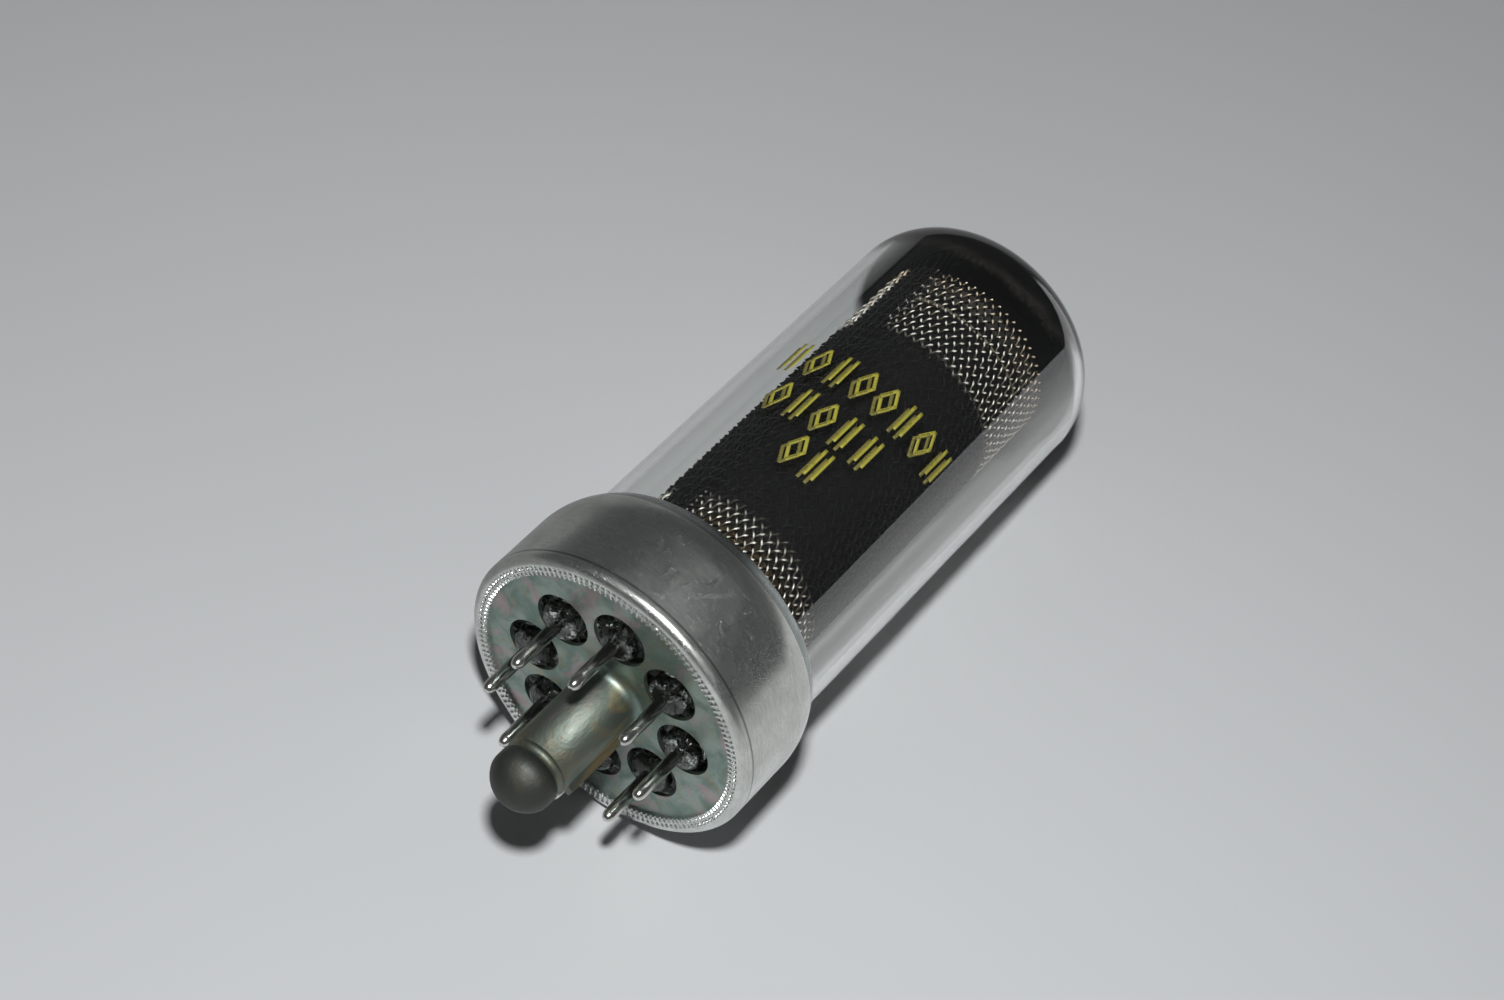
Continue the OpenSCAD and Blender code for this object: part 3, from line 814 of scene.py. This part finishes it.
# Closed tubes round lines of points. The top and the side are directions at each point.
def sweepWires(centre, top, side):
    wires, stations = centre.shape[:2]
    sides = weave["sides"]
    corner = np.arange(sides)[:, None] * 2 * np.pi / sides
    rim = top[..., None, :] * np.cos(corner) + side[..., None, :] * np.sin(corner)
    points = centre[..., None, :] + weave["wire"] / 2 * rim
    # Each cap is a fan of quads from the section's first corner
    fan = np.array([[0, k, k + 1, k + 2] for k in range(1, sides - 1, 2)])
    one = np.concatenate([gridQuads(stations, sides, wrapCols=True), fan[:, ::-1],
                          fan + (stations - 1) * sides])
    firsts = np.arange(wires) * stations * sides
    return points.reshape(-1, 3), (one + firsts[:, None, None]).reshape(-1, 4)


# Wires on the slant, as thin tubes. Unrolled, wire i follows x = i pitch + slope z. Its height is
# a cosine of its own number plus the crossing wires' number, which is fractional between two.
def slantWires(own, other, radius, sign, low, high, span=None, flare=0.0):
    count, slope = own
    girth = 2 * np.pi * radius
    pitch, cross = girth / count, girth / other[0]
    perHeight = (slope - other[1]) / cross  # crossings for each millimetre of height
    number, zLow, zHigh = wireEnds(own, pitch, low, high, span)
    # Stations fall on the crossings and evenly between them, and stop a hair apart at the ends
    gap = 1 / (abs(perHeight) * weave["perCrossing"])
    order = np.arange(int(math.ceil(float((zHigh - zLow).max()) / gap)) + 2)
    first = number * pitch / (cross * perHeight)
    start = np.floor((zLow + first) / gap) * gap - first
    z = np.clip(start + gap * order, zLow, zHigh) + 1e-4 * order
    x = number * pitch + slope * z
    phase = np.pi * (number + (x - other[1] * z) / cross)
    rise = sign * weave["wave"] * np.cos(phase)
    climb = -sign * weave["wave"] * np.sin(phase) * np.pi * perHeight
    lift = 0.0 if span is None else flare * np.clip((x - span[0]) / (span[1] - span[0]), 0, 1) ** 2
    a = x / radius
    outward = onAxis(1.0, a, 0.0)
    along = onAxis(1.0, a + np.pi / 2, 0.0) * slope + climb[..., None] * outward
    along[..., 2] += 1.0
    along = unit(along)
    side = unit(np.cross(along, outward))
    return sweepWires(onAxis(radius + rise + lift, a, z), np.cross(side, along), side)


def joinParts(parts):
    firsts = np.cumsum([0] + [len(points) for points, quads in parts])
    return (np.concatenate([points for points, quads in parts]),
            np.concatenate([quads + first for (points, quads), first in zip(parts, firsts)]))


def buildScreen():
    warp, weft, radius = weave["warp"], weave["weft"], weaveRadius()
    ends = tube["meshLow"], tube["meshHigh"]
    for name, wires in (
        ("screen_warp", slantWires(warp, weft, radius, 1, *ends)),
        ("screen_weft", slantWires(weft, warp, radius, -1, *ends)),
    ):
        makePiece(name, *wires, meshWire, slot="mesh_wire", replaced=["screen_mesh"])
    lapRadius, flare = radius + weave["lapLift"], weave["lapFlare"]
    edge = math.radians(weave["lapTurn"])
    span = (lapRadius * (edge - math.radians(weave["lapAngle"])), lapRadius * edge)
    lap = joinParts([
        slantWires(warp, weft, lapRadius, 1, *ends, span, flare),
        slantWires(weft, warp, lapRadius, -1, *ends, span, flare),
    ])
    makePiece("screen_lap", *lap, meshWire, slot="mesh_wire", replaced=["screen_mesh"])


# The black lining lies behind the weave. Along the middle of the screen it rises between the wires
# and fills the openings.
def buildLining():
    look = liningLook
    outer = weaveRadius() - weave["wire"] / 2 - weave["wave"] - look["behind"]
    inner, filling = outer - look["wall"], weaveRadius() - look["under"]
    low, high = tube["meshLow"] + look["endGap"], tube["meshHigh"] - look["endGap"]
    profile = np.array([
        [outer, low], [outer, look["from"] - look["ramp"]], [filling, look["from"]],
        [filling, look["to"]], [outer, look["to"] + look["ramp"]], [outer, high],
        [inner, high], [inner, low],
    ])
    revolve("screen_lining", profile, 180, liningCoat(), closed=True, sharp=30)


buildScreen()
buildLining()
print("screen woven")

# Plain printed marks: bars and lozenges in three rows, each with a fainter painted reflection of
# it beside it.
# A row is its height, the marks' angles in degrees and the marks. A stroke is a list of
# (across, up) corners in millimetres from the mark's middle.
marks = {
    "radius": 13.92,
    "line": 0.36,
    "thickness": 0.02,
    "overrun": 0.04,       # share by which a stroke runs past its corners
    # Offset of the marks' painted reflection, in millimetres
    "paintedReflection": (-0.25, -0.75),
    "rows": [
        (36.9, np.arange(-33, 45, 11.0), "|<|<<|<|"),
        (30.9, np.arange(-24, 24, 11.0), "<|<||"),
        (25.7, np.arange(-1, 12, 11.0), "<|"),
    ],
    "strokes": {
        "|": [[(-0.45, -1.8), (-0.45, 1.8)], [(0.45, -1.8), (0.45, 1.8)]],
        "<": [[(0, -1.8), (0.85, 0), (0, 1.8), (-0.85, 0), (0, -1.8)]],
    },
}


# One straight stroke as a thin closed bar that follows the glass
def strokeBar(start, end, angle, height, shift):
    start, end = np.array(start, float), np.array(end, float)
    way = unit(end - start)
    beside = np.array([-way[1], way[0]]) * marks["line"] / 2
    t = np.linspace(-marks["overrun"], 1 + marks["overrun"], 9)[:, None]
    middle = start + (end - start) * t
    flat = np.stack([middle - beside, middle + beside, middle + beside, middle - beside], 1)
    flat = flat + np.array(shift)
    radius = marks["radius"] + np.array([0, 0, 1, 1]) * marks["thickness"]
    a = math.radians(angle) + flat[..., 0] / marks["radius"]
    points = onAxis(radius[None, :], a, height + flat[..., 1])
    cap = np.array([[0, 1, 2, 3]])
    quads = np.concatenate([gridQuads(len(t), 4, wrapCols=True)[:, ::-1], cap,
                            cap[:, ::-1] + (len(t) - 1) * 4])
    return points.reshape(-1, 3), quads


def buildPrint():
    for name, shift, material in (
        ("print_marks", (0, 0), printInk("printInk", *printLook["marks"])),
        # The marks' painted reflection, offset beside them
        ("print_painted_reflection", marks["paintedReflection"], printInk("printPaintedReflection", *printLook["paintedReflection"])),
    ):
        bars = [
            strokeBar(a, b, angle, height, shift)
            for height, angles, signs in marks["rows"]
            for angle, sign in zip(angles, signs)
            for line in marks["strokes"][sign]
            for a, b in zip(line, line[1:])
        ]
        makePiece(name, *joinParts(bars), material)


buildPrint()
print("marks printed")

# Floor, lamp, world and camera, in metres. The floor away from the tube, and the world just over
# the horizon on its right, glow in mirror images, and only there.
setFloor = {
    "color": (0.545, 0.562, 0.572),
    "cloud": 0.03,         # share by which its tone varies
    "paintedFalloff": (1.22, 0.90),  # painted light: brighter right of the tube, darker left, as the lamp's light falls off across the floor
    "paintedFalloffFrom": (-0.16, 0.12),  # where each is reached, along y
    "half": 1.5,
    "roughness": 0.8,
    "glow": (0.98, 0.99, 0.98),
    "inGlass": (1.5, 0.30),  # its strength in the glass's mirror image, right and left
    "inMetal": (0.55, 0.22),  # and in metal
    "mirroredFrom": (0.018, 0.036),  # distance from the tube's axis over which it sets in
}
setLamp = {
    "place": (-0.1244, -0.0411, 0.3066),
    "target": (0.0, 0.0, 0.015),
    "size": 0.026,
    "power": 1.02,
}
setWorld = {
    "color": (0.96, 0.98, 1.0),
    "seen": 0.50,          # brightness to the camera
    "through": 0.09,       # through glass
    "mirrored": 0.06,      # in mirror images
    "fill": 0.04,          # as a light
    "bandTop": 0.10,       # sine of the elevation up to which it glows on the right
}
setCamera = {              # fitted to the photograph
    "place": (-0.16865, -0.07325, 0.26405),
    "right": (0.59379, -0.78780, 0.16364),
    "up": (0.58830, 0.56382, 0.57966),
    "back": (-0.54892, -0.24793, 0.79825),
    "lens": 76.47,
    "sensor": 36.0,
    "clip": (0.01, 20),
}


# Sets an object in its place, with its axes in the world
def aim(item, right, up, back, place):
    way = Matrix(np.stack([right, up, back], 1).tolist()).to_4x4()
    way.translation = place
    item.matrix_world = way


# 1 for rays that come from a mirror image, not through glass
def mirroredRay(tree, path, kind):
    return times(tree, path[kind], calc(tree, "SUBTRACT", 1.0, path["Is Transmission Ray"]))


def buildFloor():
    material, tree = startMaterial("paleSheet")
    place = add(tree, "ShaderNodeTexCoord").outputs["Object"]
    y = split(tree, place)[1]
    cloud = add(tree, "ShaderNodeTexNoise", {"Vector": place, "Scale": 9.0, "Detail": 2.0})
    color = blendColor(tree, cloud.outputs[0],
                       scaled(setFloor["color"], 1 - setFloor["cloud"]),
                       scaled(setFloor["color"], 1 + setFloor["cloud"]))
    # Painted light: the floor's colour is lighter to the right of the tube and darker to its left
    paintedFalloff = remap(tree, y, *setFloor["paintedFalloffFrom"], *setFloor["paintedFalloff"])
    paintedFalloffColor = add(tree, "ShaderNodeVectorMath", {0: color, "Scale": paintedFalloff}, operation="SCALE")
    sheet = principled(tree, Base_Color=paintedFalloffColor.outputs[0], Roughness=setFloor["roughness"],
                       Specular_IOR_Level=0.3)
    path = add(tree, "ShaderNodeLightPath").outputs
    left = step(tree, y, -0.01, 0.01)
    level = masked(tree, path["Is Singular Ray"], masked(tree, left, *setFloor["inMetal"]),
                   masked(tree, left, *setFloor["inGlass"]))
    glow = add(tree, "ShaderNodeEmission", {"Color": (*setFloor["glow"], 1), "Strength": level})
    away = step(tree, calc(tree, "ABSOLUTE", y), *setFloor["mirroredFrom"])
    factor = times(tree, mirroredRay(tree, path, "Is Glossy Ray"), away)
    finished(material, mixShaders(tree, factor, sheet, glow.outputs[0]))
    material.cycles.emission_sampling = "NONE"
    half = setFloor["half"]
    corners = [(-half, -half, 0), (half, -half, 0), (half, half, 0), (-half, half, 0)]
    mesh = bpy.data.meshes.new("floor")
    mesh.from_pydata(corners, [], [(0, 1, 2, 3)])
    mesh.materials.append(material)
    addObject("floor", mesh)


def buildLamp():
    lamp = bpy.data.lights.new("flash", "AREA")
    lamp.shape = "DISK"
    lamp.size = setLamp["size"]
    lamp.energy = setLamp["power"]
    back = unit(np.array(setLamp["place"]) - np.array(setLamp["target"]))
    right = unit(np.cross([0, 0, 1], back))
    aim(addObject("flash", lamp), right, np.cross(back, right), back, setLamp["place"])


def buildWorld():
    world = bpy.data.worlds.new("room")
    bpy.context.scene.world = world
    world.use_nodes = True
    tree = world.node_tree
    tree.nodes.clear()
    path = add(tree, "ShaderNodeLightPath").outputs
    strength = setWorld["fill"]
    for ray, level in (("Is Glossy Ray", "mirrored"), ("Is Transmission Ray", "through"),
                       ("Is Camera Ray", "seen")):
        strength = masked(tree, path[ray], strength, setWorld[level])
    x, y, z = split(tree, add(tree, "ShaderNodeTexCoord").outputs["Generated"])
    low = times(tree, step(tree, z, setWorld["bandTop"] + 0.01, setWorld["bandTop"]),
                step(tree, y, 0.0, -0.1))
    glowing = times(tree, low, mirroredRay(tree, path, "Is Singular Ray"))
    strength = masked(tree, glowing, strength, setFloor["inGlass"][0])
    sky = add(tree, "ShaderNodeBackground", {"Color": (*setWorld["color"], 1),
                                             "Strength": strength})
    add(tree, "ShaderNodeOutputWorld", {"Surface": sky.outputs[0]})


def buildCamera():
    camera = bpy.data.cameras.new("camera")
    camera.lens = setCamera["lens"]
    camera.sensor_width = setCamera["sensor"]
    camera.clip_start, camera.clip_end = setCamera["clip"]
    holder = addObject("camera", camera)
    aim(holder, *(setCamera[key] for key in ("right", "up", "back", "place")))
    bpy.context.scene.camera = holder


buildFloor()
buildLamp()
buildWorld()
buildCamera()
bpy.context.scene.view_settings.view_transform = "Standard"
print("stage set")
